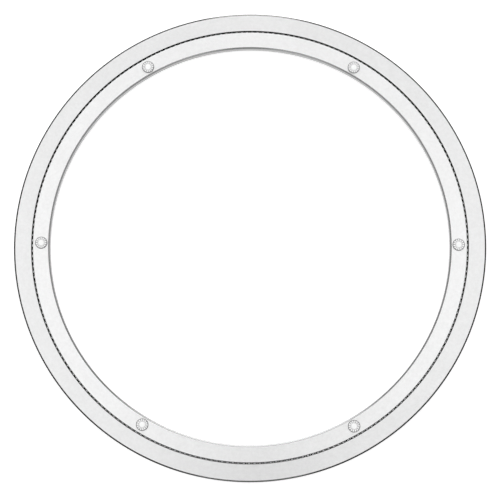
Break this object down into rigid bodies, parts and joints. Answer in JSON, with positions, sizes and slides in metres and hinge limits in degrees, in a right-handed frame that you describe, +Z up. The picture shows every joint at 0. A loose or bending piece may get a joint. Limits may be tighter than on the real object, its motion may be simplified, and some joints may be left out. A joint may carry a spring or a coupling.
{
  "type": "lazy susan bearing",
  "caption": "Two flat aluminium rings, one inside the other, that turn on a full row of steel balls, with ribbed pads for the turntable top and for the base.",
  "frame": {"origin": "on the axis of rotation, in the plane that the feet stand on", "axes": "+Z up along the axis of rotation; the first turntable pad lies on +X and the loading hole on +Y"},
  "size_m": [0.3999, 0.4, 0.0097],
  "materials": {
    "anodised_aluminium": "matt anodised",
    "bare_aluminium": "turned",
    "steel_balls": "polished steel",
    "clear_rubber": "translucent, smooth"
  },
  "bodies": {
    "base": {"outer_ring": "anodised_aluminium", "filler_plug": "bare_aluminium", "foot_pad_1": "clear_rubber", "foot_pad_2": "clear_rubber", "foot_pad_3": "clear_rubber", "foot_pad_4": "clear_rubber", "foot_pad_5": "clear_rubber", "foot_pad_6": "clear_rubber"},
    "turntable": {"inner_ring": "anodised_aluminium", "turntable_pad_1": "clear_rubber", "turntable_pad_2": "clear_rubber", "turntable_pad_3": "clear_rubber", "turntable_pad_4": "clear_rubber", "turntable_pad_5": "clear_rubber", "turntable_pad_6": "clear_rubber"},
    "ball_row": {"balls_1": "steel_balls", "balls_2": "steel_balls", "balls_3": "steel_balls", "balls_4": "steel_balls", "balls_5": "steel_balls", "balls_6": "steel_balls"}
  },
  "joints": [
    {"name": "turntable_spin", "type": "hinge", "parent": "base", "child": "turntable", "pos_m": [0, 0, 0], "axis": [0, 0, 1], "continuous": true},
    {"name": "ball_orbit", "type": "hinge", "parent": "base", "child": "ball_row", "pos_m": [0, 0, 0], "axis": [0, 0, 1], "continuous": true}
  ],
  "couplings": [
    {"joint": "ball_orbit", "follows": "turntable_spin", "ratio": 0.49569}
  ]
}
